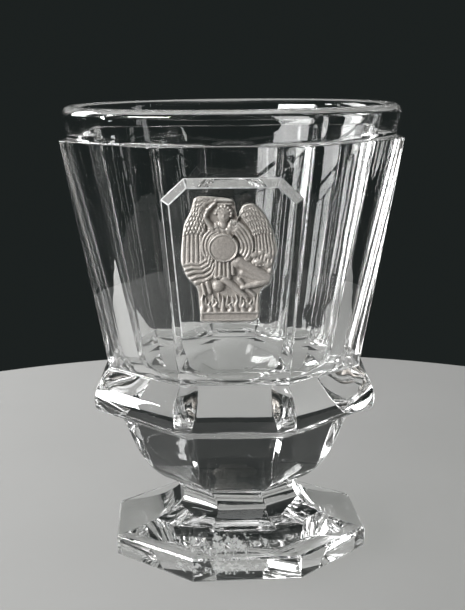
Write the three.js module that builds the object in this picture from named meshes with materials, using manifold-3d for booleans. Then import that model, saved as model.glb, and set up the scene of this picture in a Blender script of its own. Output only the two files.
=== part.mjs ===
// A footed beaker of thick, clear cut glass, with a ceramic cameo under a raised glass cover.
//
// Millimetres, +Z up. The origin is in the middle of the resting face, on the axis of the bowl,
// and the panel with the cameo faces -Y. A size called "half" runs from the axis to the middle
// of one of the eight flat sides.
import * as THREE from 'three';
import { mergeVertices } from 'three/addons/utils/BufferGeometryUtils.js';
import Module from 'manifold-3d';

const wasm = await Module();
wasm.setup();

// Heights, stacked from the table up
const FOOT_HEIGHT = 14.3;
const NECK_HEIGHT = 4;
const UNDERSIDE_HEIGHT = 24.7;
const BELT_HEIGHT = 12.2;
const PANEL_HEIGHT = 64;
const COLLAR_HEIGHT = 8.8;

// Foot: it was cut by hand, so it stands a little turned and its edge is thicker at the front
const FOOT_HALF = 36.1;
const FOOT_EDGE_FRONT = 6.6;
const FOOT_EDGE_BACK = 4;
const FOOT_EDGE_BREAK = 0.5;
const FOOT_SEAT_HALF = 16.4;
const FOOT_TURN = THREE.MathUtils.degToRad(3.5);
const FOOT_SHIFT_RIGHT = 0.8;
const FOOT_SHIFT_FORWARD = 0.2;

// Neck wafer
const NECK_TOP_HALF = 17.2;
const NECK_WAIST = 0.5;

// Bowl, outside
const UNDERSIDE_HALF = 31.9;
const BELT_SOFFIT_RISE = 3.6;
const BELT_EDGE_HALF = 39;
const BELT_BULGE = 1.9;
const PANEL_FOOT_HALF = 35.3;
const PANEL_TOP_HALF = 46.5;
const FRONT_PANEL_TOP_WIDTH = 41;
const SHOULDER_BREAK = 0.5;
const SHOULDER_RISE = 1.4;
const COLLAR_FOOT_RADIUS = 46.4;
const RIM_RADIUS = 47.6;
const LIP_ROUND = 2.1;

// Bowl, inside
const MOUTH_RADIUS = 43.2;
const CAVITY_DEPTH = 76;
const CAVITY_FLOOR_RADIUS = 27;
const CAVITY_FLOOR_FILLET = 9;

// Cover tablet, in the plane of the front panel
const TABLET_FOOT_WIDTH = 28.6;
const TABLET_WIDTH = 35.8;
const TABLET_TOP_WIDTH = 24.4;
const TABLET_HEIGHT = 56.2;
const TABLET_CORNER_DROP = 5.4;
const TABLET_THICKNESS = 2.3;
const TABLET_EDGE = 0.5;
const TABLET_BEVEL = 1.9;
const TABLET_TOE_DROP = 1.9;
const TABLET_FOOT_GAP = 0.8;

// Cameo
const CAMEO_THICKNESS = 1.9;
const CAMEO_PLATE = 0.8;
const CAMEO_SUNK = 0.9;
const CAMEO_RIGHT = -1;
const CAMEO_UP = 35.7;
const SHIELD_RADIUS = 3.9;
const SHIELD_RIM = 0.5;
const HEAD_RADIUS = 2.1;
const PLINTH_WIDTH = 15;
const PLINTH_HEIGHT = 2.3;

// Fits and fineness
const CLEARANCE = 0.3;
const SIDES = 8;
const ROUND_STEPS = 96;
const CURVE_STEPS = 7;
const BLOB_STEPS = 12;

// Levels that follow from the heights
const NECK_Z = FOOT_HEIGHT;
const BOWL_Z = NECK_Z + NECK_HEIGHT;
const BELT_EDGE_Z = BOWL_Z + UNDERSIDE_HEIGHT;
const PANEL_FOOT_Z = BELT_EDGE_Z + BELT_HEIGHT;
const PANEL_TOP_Z = PANEL_FOOT_Z + PANEL_HEIGHT;
const RIM_Z = PANEL_TOP_Z + COLLAR_HEIGHT;
const CAVITY_FLOOR_Z = RIM_Z - CAVITY_DEPTH;

const HALF_SIDE = Math.tan(Math.PI / SIDES);
const PANEL_LEAN = Math.atan2(PANEL_TOP_HALF - PANEL_FOOT_HALF, PANEL_HEIGHT);

// Materials
const glass = new THREE.MeshStandardMaterial({
  color: 0xdfe4e2,
  roughness: 0.03,
  metalness: 0,
  transparent: true,
  opacity: 0.35,
});
const cameoPaste = new THREE.MeshStandardMaterial({ color: 0xb9b4aa, roughness: 0.5, metalness: 0 });

// Solids

function toManifold(geometry) {
  const plain = geometry.clone();
  plain.deleteAttribute('normal');
  plain.deleteAttribute('uv');
  const merged = mergeVertices(plain, 1e-5);
  return new wasm.Manifold(new wasm.Mesh({
    numProp: 3,
    vertProperties: new Float32Array(merged.attributes.position.array),
    triVerts: new Uint32Array(merged.index.array),
  }));
}

function toGeometry(solid) {
  const mesh = solid.getMesh();
  const geometry = new THREE.BufferGeometry();
  geometry.setAttribute('position', new THREE.BufferAttribute(mesh.vertProperties, 3));
  geometry.setIndex(new THREE.BufferAttribute(mesh.triVerts, 1));
  return geometry;
}

// Joins levels of equal corner count, given from the bottom up, into one closed body.
function loft(levels) {
  const count = levels[0].length;
  const positions = levels.flat().flatMap((point) => point.toArray());
  const index = [];
  for (let level = 0; level + 1 < levels.length; level += 1) {
    for (let corner = 0; corner < count; corner += 1) {
      const a = level * count + corner;
      const b = level * count + (corner + 1) % count;
      index.push(a, b, b + count, a, b + count, a + count);
    }
  }
  const last = (levels.length - 1) * count;
  for (let corner = 1; corner + 1 < count; corner += 1) {
    index.push(0, corner + 1, corner);
    index.push(last, last + corner, last + corner + 1);
  }
  const geometry = new THREE.BufferGeometry();
  geometry.setAttribute('position', new THREE.Float32BufferAttribute(positions, 3));
  geometry.setIndex(index);
  return geometry;
}

// One level of an eight-sided form, its corners counter-clockwise from the front left one.
function octagonLevel(half, z, frontWidth = 2 * half * HALF_SIDE) {
  const reach = half / Math.cos(Math.PI / SIDES);
  const corners = [];
  for (let corner = 0; corner < SIDES; corner += 1) {
    const angle = -Math.PI / 2 + (corner - 0.5) * 2 * Math.PI / SIDES;
    corners.push(new THREE.Vector3(reach * Math.cos(angle), reach * Math.sin(angle), z));
  }
  corners[0].x = -frontWidth / 2;
  corners[1].x = frontWidth / 2;
  return corners;
}

// A profile curve of [half, z] points between two ends, bent towards two pull points.
function profileCurve(start, pullStart, pullEnd, end) {
  const points = [start, pullStart, pullEnd, end].map(([x, y]) => new THREE.Vector2(x, y));
  return new THREE.CubicBezierCurve(...points).getPoints(CURVE_STEPS).map((p) => [p.x, p.y]);
}

function turned(profile) {
  const points = profile.map(([radius, z]) => new THREE.Vector2(radius, z));
  return new THREE.LatheGeometry(points, ROUND_STEPS).rotateX(Math.PI / 2);
}

// Points of an arc in a profile, angles in radians from the outward radius.
function arcPoints(radius, z, round, from, to, steps = CURVE_STEPS) {
  const points = [];
  for (let step = 0; step <= steps; step += 1) {
    const angle = from + (to - from) * step / steps;
    points.push([radius + round * Math.cos(angle), z + round * Math.sin(angle)]);
  }
  return points;
}

// Foot and neck wafer

// The top leans back fully at the foot's edge and not at all at the wafer's seat.
function footGeometry() {
  const edge = (FOOT_EDGE_FRONT + FOOT_EDGE_BACK) / 2;
  const lean = (FOOT_EDGE_FRONT - FOOT_EDGE_BACK) / (2 * FOOT_HALF);
  const topHalf = FOOT_HALF - FOOT_EDGE_BREAK;
  const sweep = profileCurve(
    [topHalf, edge],
    [topHalf - 0.45 * (topHalf - FOOT_SEAT_HALF), edge + 1.5],
    [FOOT_SEAT_HALF + 0.14 * (topHalf - FOOT_SEAT_HALF), edge + 0.45 * (FOOT_HEIGHT - edge)],
    [FOOT_SEAT_HALF, FOOT_HEIGHT],
  );
  const levels = [
    octagonLevel(FOOT_HALF - FOOT_EDGE_BREAK, 0),
    octagonLevel(FOOT_HALF, FOOT_EDGE_BREAK),
  ];
  const upright = [[FOOT_HALF, edge - FOOT_EDGE_BREAK], ...sweep];
  for (const [half, z] of upright) {
    const fade = Math.min(1, (half - FOOT_SEAT_HALF) / (topHalf - FOOT_SEAT_HALF));
    const level = octagonLevel(half, z);
    level.forEach((corner) => { corner.z -= lean * fade * corner.y; });
    levels.push(level);
  }
  return loft(levels);
}

// The wafer follows the foot's turn and place below and the bowl's above.
function neckGeometry() {
  const levels = [];
  for (let step = 0; step <= CURVE_STEPS; step += 1) {
    const part = step / CURVE_STEPS;
    const half = THREE.MathUtils.lerp(FOOT_SEAT_HALF, NECK_TOP_HALF, part);
    const waist = NECK_WAIST * Math.sin(Math.PI * part);
    const level = octagonLevel(half - waist, NECK_Z + NECK_HEIGHT * part);
    const shift = new THREE.Vector3(FOOT_SHIFT_RIGHT, -FOOT_SHIFT_FORWARD, 0).multiplyScalar(1 - part);
    const axis = new THREE.Vector3(0, 0, 1);
    level.forEach((corner) => corner.applyAxisAngle(axis, FOOT_TURN * (1 - part)).add(shift));
    levels.push(level);
  }
  return loft(levels);
}

// Bowl

function bowlOutside() {
  const soffitZ = BELT_EDGE_Z - BELT_SOFFIT_RISE;
  const underside = profileCurve(
    [NECK_TOP_HALF, BOWL_Z],
    [THREE.MathUtils.lerp(NECK_TOP_HALF, UNDERSIDE_HALF, 0.63), BOWL_Z + 0.2 * (soffitZ - BOWL_Z)],
    [THREE.MathUtils.lerp(NECK_TOP_HALF, UNDERSIDE_HALF, 0.77), BOWL_Z + 0.6 * (soffitZ - BOWL_Z)],
    [UNDERSIDE_HALF, soffitZ],
  );
  const belt = profileCurve(
    [BELT_EDGE_HALF, BELT_EDGE_Z],
    [BELT_EDGE_HALF + BELT_BULGE, BELT_EDGE_Z + 0.37 * BELT_HEIGHT],
    [PANEL_FOOT_HALF + 1.5 * BELT_BULGE, PANEL_FOOT_Z - 0.25 * BELT_HEIGHT],
    [PANEL_FOOT_HALF, PANEL_FOOT_Z],
  );
  const levels = [...underside, ...belt].map(([half, z]) => octagonLevel(half, z));
  const shoulder = [
    [PANEL_TOP_HALF, PANEL_TOP_Z - SHOULDER_BREAK],
    [PANEL_TOP_HALF - SHOULDER_BREAK, PANEL_TOP_Z],
    [PANEL_TOP_HALF - 2 * SHOULDER_RISE, PANEL_TOP_Z + SHOULDER_RISE],
  ];
  for (const [half, z] of shoulder) {
    levels.push(octagonLevel(half, z, FRONT_PANEL_TOP_WIDTH * half / PANEL_TOP_HALF));
  }
  return loft(levels);
}

function rimPlug() {
  const lip = arcPoints(RIM_RADIUS - LIP_ROUND, RIM_Z - LIP_ROUND, LIP_ROUND, 0, Math.PI / 2);
  return turned([
    [0, PANEL_TOP_Z - SHOULDER_RISE],
    [COLLAR_FOOT_RADIUS - SHOULDER_RISE, PANEL_TOP_Z - SHOULDER_RISE],
    [COLLAR_FOOT_RADIUS, PANEL_TOP_Z],
    ...lip,
    [0, RIM_Z],
  ]);
}

// The room inside the bowl: a flat floor, a fillet, a straight flaring wall and the lip's round.
function cavity() {
  const flare = Math.atan2(MOUTH_RADIUS - CAVITY_FLOOR_RADIUS, CAVITY_DEPTH);
  const inset = CAVITY_FLOOR_FILLET * (1 - Math.sin(flare)) / Math.cos(flare);
  const fillet = arcPoints(
    CAVITY_FLOOR_RADIUS - inset,
    CAVITY_FLOOR_Z + CAVITY_FLOOR_FILLET,
    CAVITY_FLOOR_FILLET,
    -Math.PI / 2,
    -flare,
  );
  const lip = arcPoints(MOUTH_RADIUS + LIP_ROUND, RIM_Z - LIP_ROUND, LIP_ROUND, Math.PI, Math.PI / 2);
  const mouth = lip[lip.length - 1][0];
  return turned([
    [0, CAVITY_FLOOR_Z],
    ...fillet,
    ...lip,
    [mouth, RIM_Z + LIP_ROUND],
    [0, RIM_Z + LIP_ROUND],
  ]);
}

function bowlGeometry() {
  const outside = toManifold(bowlOutside()).add(toManifold(rimPlug()));
  const seat = toManifold(cameoRoom(-CAMEO_SUNK, CAMEO_SUNK).applyMatrix4(panelMatrix()));
  return toGeometry(outside.subtract(toManifold(cavity())).subtract(seat));
}

// Front panel: x to the right, y up along the glass from the belt, z out of it

function panelMatrix() {
  const matrix = new THREE.Matrix4().makeRotationX(Math.PI / 2 + PANEL_LEAN);
  return matrix.setPosition(0, -PANEL_FOOT_HALF, PANEL_FOOT_Z);
}

// Moves each side of a convex outline inwards by its own distance.
function insetOutline(outline, distances) {
  const count = outline.length;
  const sides = outline.map((start, side) => {
    const along = outline[(side + 1) % count].clone().sub(start).normalize();
    const inwards = new THREE.Vector2(-along.y, along.x);
    return { point: start.clone().addScaledVector(inwards, distances[side]), along };
  });
  return sides.map((side, corner) => {
    const before = sides[(corner + count - 1) % count];
    const offset = side.point.clone().sub(before.point);
    const reach = offset.cross(side.along) / before.along.cross(side.along);
    return before.point.clone().addScaledVector(before.along, reach);
  });
}

function tabletOutline() {
  const foot = TABLET_FOOT_GAP;
  const top = foot + TABLET_HEIGHT;
  const right = [
    [TABLET_FOOT_WIDTH / 2, foot],
    [TABLET_WIDTH / 2, top - TABLET_CORNER_DROP],
    [TABLET_TOP_WIDTH / 2, top],
  ];
  const left = right.map(([x, y]) => [-x, y]).reverse();
  return [...right, ...left].map(([x, y]) => new THREE.Vector2(x, y));
}

function tabletGeometry() {
  const outline = tabletOutline();
  const bevels = outline.map((corner, side) => (
    side === outline.length - 1 ? -TABLET_TOE_DROP : TABLET_BEVEL
  ));
  const edgePart = TABLET_EDGE / TABLET_THICKNESS;
  const toe = bevels.map((bevel) => Math.min(0, bevel * edgePart));
  const steps = [
    [outline, CLEARANCE],
    [insetOutline(outline, toe), CLEARANCE + TABLET_EDGE],
    [insetOutline(outline, bevels), CLEARANCE + TABLET_THICKNESS],
  ];
  const levels = steps.map(([points, z]) => points.map((p) => new THREE.Vector3(p.x, p.y, z)));
  const pocket = toManifold(cameoRoom(-CAMEO_SUNK, CAMEO_THICKNESS - CAMEO_SUNK + 2 * CLEARANCE));
  return toGeometry(toManifold(loft(levels)).subtract(pocket));
}

// Cameo: x and y from its middle, z from its back

// The silhouette of the figure, wings and plinth, counter-clockwise from the plinth's left end.
function cameoOutline(growth = 0) {
  const plinth = PLINTH_WIDTH / 2;
  const points = [
    [-plinth + 0.6, -16.6],
    [plinth - 1.6, -16.6],
    [plinth + 0.5, -14.6],
    [8, -11.2],
    [8.1, -7.8],
    [10.6, -5.6],
    [11.3, -1.4],
    [12.3, 2.4],
    [11.3, 7.4],
    [9.2, 12.2],
    [6.2, 15.1],
    [3.9, 14.9],
    [2.2, 12.1],
    [1.5, 15.6],
    [-1.6, 17],
    [-7, 17.2],
    [-9.3, 14.6],
    [-11.3, 9.6],
    [-12, 4.6],
    [-12.3, 0],
    [-10.8, -4],
    [-8.2, -7.2],
    [-7.9, -11.6],
    [-plinth - 0.1, -14.8],
  ].map(([x, y]) => new THREE.Vector2(x, y));
  return points.map((point, corner) => {
    const before = points[(corner + points.length - 1) % points.length];
    const after = points[(corner + 1) % points.length];
    const along = after.clone().sub(before).normalize();
    return point.clone().add(new THREE.Vector2(along.y, -along.x).multiplyScalar(growth));
  });
}

function outlinePrism(points, from, to) {
  const prism = new THREE.ExtrudeGeometry(new THREE.Shape(points), {
    depth: to - from,
    bevelEnabled: false,
  });
  return prism.translate(0, 0, from);
}

// The cameo's outline with clearance round it, at its place on the front panel.
function cameoRoom(from, to) {
  return outlinePrism(cameoOutline(CLEARANCE), from, to).translate(CAMEO_RIGHT, CAMEO_UP, 0);
}

// A rounded form of the relief: its middle, its half sizes and its turn in the plane.
function blob(x, y, halfX, halfY, rise, turn = 0) {
  const form = new THREE.SphereGeometry(1, BLOB_STEPS, BLOB_STEPS / 2);
  form.rotateX(Math.PI / 2).scale(halfX, halfY, rise);
  return form.rotateZ(turn).translate(x, y, CAMEO_PLATE);
}

// A limb or fold between two points of the relief.
function limb(from, to, width, rise) {
  const along = new THREE.Vector2(to[0] - from[0], to[1] - from[1]);
  const reach = along.length() / 2 + width / 3;
  const middle = [(from[0] + to[0]) / 2, (from[1] + to[1]) / 2];
  return blob(...middle, reach, width / 2, rise, along.angle());
}

// The feathers of a wing, fanned from its shoulder edge to its tips.
function wing(rootStart, rootEnd, tipStart, tipEnd, feathers) {
  const forms = [];
  for (let feather = 0; feather < feathers; feather += 1) {
    const part = feather / (feathers - 1);
    const root = rootStart.map((value, axis) => THREE.MathUtils.lerp(value, rootEnd[axis], part));
    const tip = tipStart.map((value, axis) => THREE.MathUtils.lerp(value, tipEnd[axis], part));
    forms.push(limb(root, tip, 1.7, 0.62 + 0.2 * Math.sin(Math.PI * part)));
  }
  return forms;
}

// Folds of the cloak, on rings round one point.
function cloakFolds(x, y, radii, from, to) {
  const forms = [];
  const steps = 4;
  for (const radius of radii) {
    for (let step = 0; step < steps; step += 1) {
      const ends = [step, step + 1].map((count) => {
        const angle = THREE.MathUtils.degToRad(THREE.MathUtils.lerp(from, to, count / steps));
        return [x + radius * Math.cos(angle), y + radius * Math.sin(angle)];
      });
      forms.push(limb(...ends, 1.2, 0.75));
    }
  }
  return forms;
}

function flames() {
  const forms = [];
  const count = 8;
  for (let flame = 0; flame < count; flame += 1) {
    const x = THREE.MathUtils.lerp(-6.9, 7.1, flame / (count - 1));
    const height = 2.3 + 0.7 * Math.cos(2.4 * flame);
    forms.push(blob(x, -12.6 + 0.5 * height, 0.85, height, 0.75, 0.22 * Math.sin(1.7 * flame)));
  }
  return forms;
}

function shield() {
  const flat = SHIELD_RADIUS - SHIELD_RIM;
  const profile = [[0, 0], [SHIELD_RADIUS, 0], [SHIELD_RADIUS, 0.95], [flat, 0.95], [flat, 0.75], [0, 1.1]];
  return turned(profile).translate(-1.4, 3.5, CAMEO_PLATE);
}

function figure() {
  const head = blob(-1.2, 12.3, HEAD_RADIUS * 0.86, HEAD_RADIUS, 1.1);
  const hair = blob(-1.3, 13.3, HEAD_RADIUS * 1.1, HEAD_RADIUS * 0.75, 0.9);
  const raisedArm = [limb([-3.6, 9], [-6.6, 13.4], 1.5, 0.8), limb([-6.6, 13.4], [-2.6, 15.8], 1.3, 0.8)];
  const shoulders = [blob(-4, 8.3, 1.7, 1.3, 0.9), blob(1.3, 8.4, 1.7, 1.3, 0.9)];
  const skirt = [limb([-3.1, 0], [-3.5, -5.2], 1.6, 0.8), limb([-1.2, -0.4], [-1.2, -5.6], 1.7, 0.9)];
  const bentLeg = [limb([0.6, -1.4], [9.4, -3.8], 3, 0.95), limb([9.4, -3.8], [2.6, -7.6], 2.2, 0.8)];
  const standingLeg = [limb([-0.6, -4.6], [4.6, -8.6], 2, 0.8), blob(-2.4, -7.2, 1.8, 1.6, 0.8)];
  const sash = [limb([-3.8, -0.4], [-7, -2.8], 1.2, 0.8), limb([-7, -2.8], [-10.8, -2.4], 1.2, 0.7)];
  return [head, hair, ...raisedArm, ...shoulders, ...skirt, ...bentLeg, ...standingLeg, ...sash];
}

function plinth() {
  const block = new THREE.BoxGeometry(PLINTH_WIDTH, PLINTH_HEIGHT, CAMEO_THICKNESS - 0.3);
  const ledge = new THREE.BoxGeometry(PLINTH_WIDTH, 0.5, CAMEO_THICKNESS);
  block.translate(0.1, -16.6 + PLINTH_HEIGHT / 2, (CAMEO_THICKNESS - 0.3) / 2);
  ledge.translate(0.1, -16.6 + PLINTH_HEIGHT, CAMEO_THICKNESS / 2);
  return [block, ledge];
}

function cameoGeometry() {
  const forms = [
    ...wing([-8.2, 14.6], [-4.6, 10.6], [-11.5, -0.6], [-5.6, 0.6], 6),
    ...wing([4.6, 14], [3.2, 9.4], [11.4, 1.6], [5.4, 1.4], 6),
    ...cloakFolds(-0.4, 4.2, [5, 6.4], 78, -32),
    ...flames(),
    ...figure(),
    ...plinth(),
    shield(),
  ];
  const plate = toManifold(outlinePrism(cameoOutline(), 0, CAMEO_PLATE));
  const relief = forms.reduce((solid, form) => solid.add(toManifold(form)), plate);
  const room = toManifold(outlinePrism(cameoOutline(), 0, CAMEO_THICKNESS));
  return toGeometry(relief.intersect(room));
}

// Assembly

function named(name, geometry, material) {
  const mesh = new THREE.Mesh(geometry, material);
  mesh.name = name;
  return mesh;
}

const beaker = new THREE.Group();

const foot = named('foot', footGeometry(), glass);
foot.rotation.z = FOOT_TURN;
foot.position.set(FOOT_SHIFT_RIGHT, -FOOT_SHIFT_FORWARD, 0);

const frontPanel = new THREE.Group();
frontPanel.applyMatrix4(panelMatrix());
const cameo = named('cameo', cameoGeometry(), cameoPaste);
cameo.position.set(CAMEO_RIGHT, CAMEO_UP, CLEARANCE - CAMEO_SUNK);
frontPanel.add(named('cover_tablet', tabletGeometry(), glass), cameo);

beaker.add(foot, named('neck_wafer', neckGeometry(), glass), named('bowl', bowlGeometry(), glass));
beaker.add(frontPanel);

export default beaker;
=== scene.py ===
import math

import bmesh
import bpy
import numpy as np
from mathutils import Matrix, Vector
from mathutils.geometry import delaunay_2d_cdt


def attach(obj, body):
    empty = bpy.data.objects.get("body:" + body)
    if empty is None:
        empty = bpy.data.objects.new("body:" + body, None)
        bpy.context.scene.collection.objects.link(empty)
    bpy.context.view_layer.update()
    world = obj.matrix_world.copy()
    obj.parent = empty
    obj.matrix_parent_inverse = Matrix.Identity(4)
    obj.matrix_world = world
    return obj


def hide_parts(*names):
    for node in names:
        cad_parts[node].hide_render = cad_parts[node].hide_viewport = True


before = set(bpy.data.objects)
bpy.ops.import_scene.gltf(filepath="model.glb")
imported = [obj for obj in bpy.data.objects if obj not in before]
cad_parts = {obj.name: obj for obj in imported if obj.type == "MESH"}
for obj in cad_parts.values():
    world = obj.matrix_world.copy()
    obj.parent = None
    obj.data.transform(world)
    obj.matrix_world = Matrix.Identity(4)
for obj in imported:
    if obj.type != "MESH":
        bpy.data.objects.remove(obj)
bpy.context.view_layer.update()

MM = 0.001

# Heights
FOOT_TOP = 14.3
NECK_TOP = 18.3
SOFFIT_Z = 39.4
BELT_EDGE_Z = 43.0
PANEL_FOOT_Z = 55.2
PANEL_TOP_Z = 119.2
COLLAR_FOOT_Z = 119.75
RIM_Z = 128.0
CAVITY_FLOOR_Z = 52.0

# Foot and neck wafer
FOOT_HALF = 36.1
FOOT_EDGE_FRONT = 6.6
FOOT_EDGE_BACK = 4.0
FOOT_BEVEL = 0.6
FOOT_SEAT_HALF = 16.4
FOOT_TURN = math.radians(3.5)
FOOT_SHIFT = (0.8, -0.2)
NECK_TOP_HALF = 17.2
NECK_WAIST = 0.5

# Bowl
UNDERSIDE_HALF = 31.9
BELT_EDGE_HALF = 39.0
BELT_BULGE = 1.9
PANEL_FOOT_HALF = 35.3
PANEL_TOP_HALF = 46.5
FRONT_PANEL_TOP_WIDTH = 41.0
COLLAR_FOOT_RADIUS = 46.4
RIM_RADIUS = 47.6
LIP_ROUND = 2.1
MOUTH_RADIUS = 43.2
CAVITY_FLOOR_RADIUS = 27.0
CAVITY_FLOOR_FILLET = 9.0
CAVITY_FLOOR_SAG = 1.8
CAVITY_WAVE = 0.09

# Cover tablet and cameo, on the front panel
TABLET_FOOT_WIDTH = 30.6
TABLET_WIDTH = 35.8
TABLET_TOP_WIDTH = 24.4
TABLET_FOOT_GAP = 14.6
TABLET_HEIGHT = 42.4
TABLET_CORNER_DROP = 5.4
TABLET_EDGE = 0.5
TABLET_RISE = 2.6
TABLET_BEVEL = 1.9
TABLET_FOOT_BEVEL = 0.4
TABLET_EASE = 0.2
CAMEO_RIGHT = -1.0
CAMEO_UP = 35.7
CAMEO_SUNK = 0.6
CAMEO_PLATE = 0.8
POCKET_RISE = 1.6
POCKET_GAP = 0.12

# Edges: how far a cutter's edge is broken, and how close the row beside it lies
ARRIS_EASE = 0.3
EDGE_EASE = 0.25
LEDGE_EASE = 0.45
BESIDE = 0.15

SIDES = 8
SIDE_ANGLE = 2 * math.pi / SIDES
HALF_SIDE = math.tan(SIDE_ANGLE / 2)
FLAT_STEPS = 11
JOINING_DISTANCE = 0.002
PANEL_LEAN = math.atan2(PANEL_TOP_HALF - PANEL_FOOT_HALF, PANEL_TOP_Z - PANEL_FOOT_Z)
PANEL_LENGTH = math.hypot(PANEL_TOP_HALF - PANEL_FOOT_HALF, PANEL_TOP_Z - PANEL_FOOT_Z)


# Node trees


class Wire:
    """An output of a node, so that maths on it reads as a plain expression."""

    def __init__(self, tree, socket):
        self.tree = tree
        self.socket = socket

    def maths(self, operation, first, second=0.0):
        return self.tree.add("ShaderNodeMath", {0: first, 1: second}, operation=operation)

    def __add__(self, other):
        return self.maths("ADD", self, other)

    def __sub__(self, other):
        return self.maths("SUBTRACT", self, other)

    def __rsub__(self, other):
        return self.maths("SUBTRACT", other, self)

    def __mul__(self, other):
        return self.maths("MULTIPLY", self, other)

    def __truediv__(self, other):
        return self.maths("DIVIDE", self, other)

    __radd__ = __add__
    __rmul__ = __mul__

    def power(self, exponent):
        return self.maths("POWER", self, exponent)

    def larger(self, other):
        return self.maths("MAXIMUM", self, other)

    def step(self, start, end):
        """Rises smoothly from 0 at start to 1 at end."""
        span = {"Value": self, "From Min": start, "From Max": end}
        return self.tree.add("ShaderNodeMapRange", span, interpolation_type="SMOOTHSTEP")

    def fade(self, start, end):
        """Falls smoothly from 1 at start to 0 at end."""
        return 1.0 - self.step(start, end)


class Tree:
    """The nodes of a material, the world or a Geometry Nodes group, from an empty start."""

    def __init__(self, graph):
        self.graph = graph
        graph.nodes.clear()

    def add(self, kind, sockets=None, output=0, **settings):
        node = self.graph.nodes.new(kind)
        for name, value in settings.items():
            setattr(node, name, value)
        for name, value in (sockets or {}).items():
            if isinstance(value, Wire):
                self.graph.links.new(value.socket, node.inputs[name])
            else:
                node.inputs[name].default_value = value
        return Wire(self, node.outputs[output] if len(node.outputs) else None)

    def blend(self, factor, first, second):
        """A colour between two colours."""
        sockets = {"Factor": factor, 6: first, 7: second}
        return self.add("ShaderNodeMix", sockets, output=2, data_type="RGBA")

    def outputs(self, wire, count):
        """The first outputs of the node that a wire comes from."""
        return [Wire(self, wire.socket.node.outputs[number]) for number in range(count)]


def new_material(name):
    material = bpy.data.materials.new(name)
    material.use_nodes = True
    return material, Tree(material.node_tree)


def millimetres(tree, turn=(0, 0, 0), stretch=(1, 1, 1)):
    """Object coordinates in millimetres."""
    place = tree.add("ShaderNodeTexCoord", output="Object")
    scale = tuple(value / MM for value in stretch)
    sockets = {"Vector": place, "Rotation": turn, "Scale": scale}
    return tree.add("ShaderNodeMapping", sockets, vector_type="POINT")


def noise(tree, place, size, detail=2.0, roughness=0.5):
    """Cloudy noise from 0 to 1, with blotches of about that size."""
    sockets = {"Vector": place, "Scale": 1 / size, "Detail": detail, "Roughness": roughness}
    return tree.add("ShaderNodeTexNoise", sockets, output="Fac")


# Materials


def scratches(tree, turn, length, width, share):
    """Fine straight marks in one direction, 1 on a mark and 0 off it."""
    place = millimetres(tree, turn=turn, stretch=(1 / length, 1 / width, 1 / width))
    lines = noise(tree, place, 1.0, detail=1.0)
    return lines.step(1 - share, 1 - share + 0.03)


def finish_glass(tree, bump_height, roughness, dulled=None):
    """Clear glass that passes lamp light, dulled by a share of chalk of a colour and roughness."""
    normal = tree.add("ShaderNodeBump", {"Height": bump_height, "Strength": 1.0, "Distance": MM})
    glass = tree.add(
        "ShaderNodeBsdfPrincipled",
        {
            "Base Color": (0.975, 0.98, 0.975, 1),
            "Roughness": roughness,
            "IOR": 1.545,
            "Transmission Weight": 1.0,
            "Normal": normal,
        },
    )
    if dulled:
        share, colour, chalk_roughness = dulled
        sockets = {"Base Color": colour, "Roughness": chalk_roughness}
        chalk = tree.add("ShaderNodeBsdfPrincipled", sockets)
        glass = tree.add("ShaderNodeMixShader", {0: share, 1: glass, 2: chalk})
    lamps = tree.add("ShaderNodeBsdfTransparent", {"Color": (0.93, 0.935, 0.93, 1)})
    path = tree.add("ShaderNodeLightPath", output="Is Shadow Ray")
    surface = tree.add("ShaderNodeMixShader", {0: path, 1: glass, 2: lamps})
    tree.add("ShaderNodeOutputMaterial", {"Surface": surface})


def cut_glass():
    """Wheel-cut and polished: faintly wavy, with a few hairline scratches and dull smears."""
    material, tree = new_material("cut_glass")
    place = millimetres(tree)
    wave = noise(tree, place, 13.0, detail=1.0) * 0.06 + noise(tree, place, 4.0, detail=0.0) * 0.008
    drawn = noise(tree, millimetres(tree, stretch=(1, 1, 0.07)), 8.0, detail=1.0) * 0.03
    marks = scratches(tree, (0.4, 0.3, 0.9), 12.0, 0.07, 0.25)
    marks = marks.larger(scratches(tree, (1.1, -0.5, -0.4), 9.0, 0.06, 0.24))
    smear = noise(tree, place, 9.0, detail=4.0).step(0.6, 0.75)
    finish_glass(tree, wave + drawn - marks * 0.0015, marks * 0.03 + smear * 0.004)
    return material


def foot_glass():
    """The cut glass of the foot, worn and frosted in a patch of its underside."""
    material, tree = new_material("foot_glass")
    place = millimetres(tree)
    wave = noise(tree, place, 14.0, detail=0.0) * 0.04
    xyz = tree.add("ShaderNodeSeparateXYZ", {"Vector": place})
    across, along, up = tree.outputs(xyz, 3)
    below = up.fade(0.02, 0.12)
    patch = ((across + 3.0) / 13.0).power(2.0) + ((along + 22.0) / 8.0).power(2.0)
    blotches = noise(tree, millimetres(tree, stretch=(1, 0.4, 1)), 2.2, detail=5.0, roughness=0.7)
    frost = (blotches - patch * 0.1).step(0.45, 0.52) * below * patch.fade(0.7, 1.3)
    marks = scratches(tree, (0.0, 0.0, 0.7), 9.0, 0.2, 0.33) * below
    frosted = (frost * 0.9, (0.62, 0.63, 0.62, 1), 0.8)
    finish_glass(tree, wave - marks * 0.003, marks * 0.12 + frost * 0.4, frosted)
    return material


def wear_and_highlight_glass(name, least, most):
    """Cut faces of the cover that kept some of the grinding and so show pale; on the top and right
    bevel the pale is also a painted highlight.
    """
    material, tree = new_material(name)
    place = millimetres(tree)
    share = noise(tree, place, 1.6, detail=3.0).step(0.3, 0.7) * (most - least) + least
    ground = (share, (0.85, 0.86, 0.86, 1), 0.35)
    finish_glass(tree, noise(tree, place, 0.8) * 0.02, 0.12, ground)
    return material


def fused_joint():
    """Where two bodies of glass run into each other there is no surface to see."""
    material, tree = new_material("fused_joint")
    clear = tree.add("ShaderNodeBsdfTransparent", {"Color": (1, 1, 1, 1)})
    tree.add("ShaderNodeOutputMaterial", {"Surface": clear})
    return material


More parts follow.
